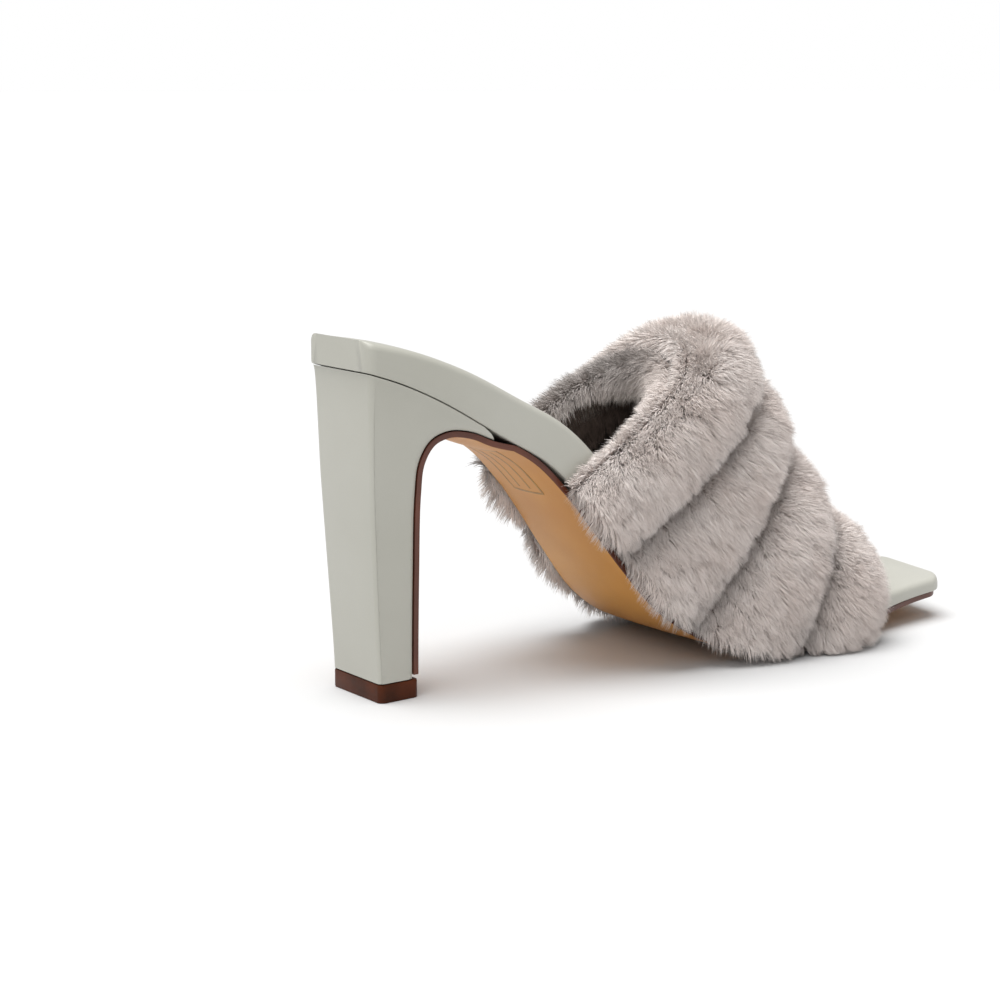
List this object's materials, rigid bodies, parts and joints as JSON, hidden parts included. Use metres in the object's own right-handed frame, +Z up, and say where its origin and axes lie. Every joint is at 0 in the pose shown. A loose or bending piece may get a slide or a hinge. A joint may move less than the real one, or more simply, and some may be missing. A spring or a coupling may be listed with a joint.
{
  "type": "high-heeled mule",
  "caption": "Right high-heeled mule: slim block heel, padded covered insole, thin outsole with heel-breast flap, and a padded faux-fur vamp in quilted rolls.",
  "frame": {"origin": "centre of the heel tip's ground face", "axes": "+X from heel to toe, +Y to the wearer's left (the inner side of this right shoe), +Z up"},
  "size_m": [0.2307, 0.0913, 0.107],
  "materials": {
    "cover_leatherette": "sage-grey synthetic leather, satin gloss",
    "faux_fur": "dense short-pile faux fur, mauve grey",
    "lining": "plain dark woven lining",
    "wadding": "loose polyester wadding",
    "foam": "soft latex foam",
    "board": "cellulose insole board",
    "filler": "felt bottom filler",
    "outsole": "smooth tan outsole with dark brown painted edge",
    "top_piece_tpu": "hard brown polyurethane, slightly translucent",
    "heel_plastic": "moulded black plastic",
    "steel": "bright wire and strip"
  },
  "bodies": {
    "root": {"top_piece": "top_piece_tpu", "top_piece_pin": "steel", "heel_core": "heel_plastic", "heel_cover": "cover_leatherette", "heel_screw": "steel", "heel_nail_1": "steel", "heel_nail_2": "steel", "heel_nail_3": "steel", "heel_nail_4": "steel", "insole_cover": "cover_leatherette", "insole_foam": "foam", "insole_board": "board", "shank": "steel", "shank_rivet_1": "steel", "shank_rivet_2": "steel", "bottom_filler": "filler", "outsole": "outsole", "lasting_margin_outer": "lining", "lasting_margin_inner": "lining", "vamp_lining": "lining", "mouth_facing": "faux_fur", "padding_roll_1": "wadding", "fur_roll_1": "faux_fur", "padding_roll_2": "wadding", "fur_roll_2": "faux_fur", "padding_roll_3": "wadding", "fur_roll_3": "faux_fur", "padding_roll_4": "wadding", "fur_roll_4": "faux_fur"}
  },
  "joints": []
}
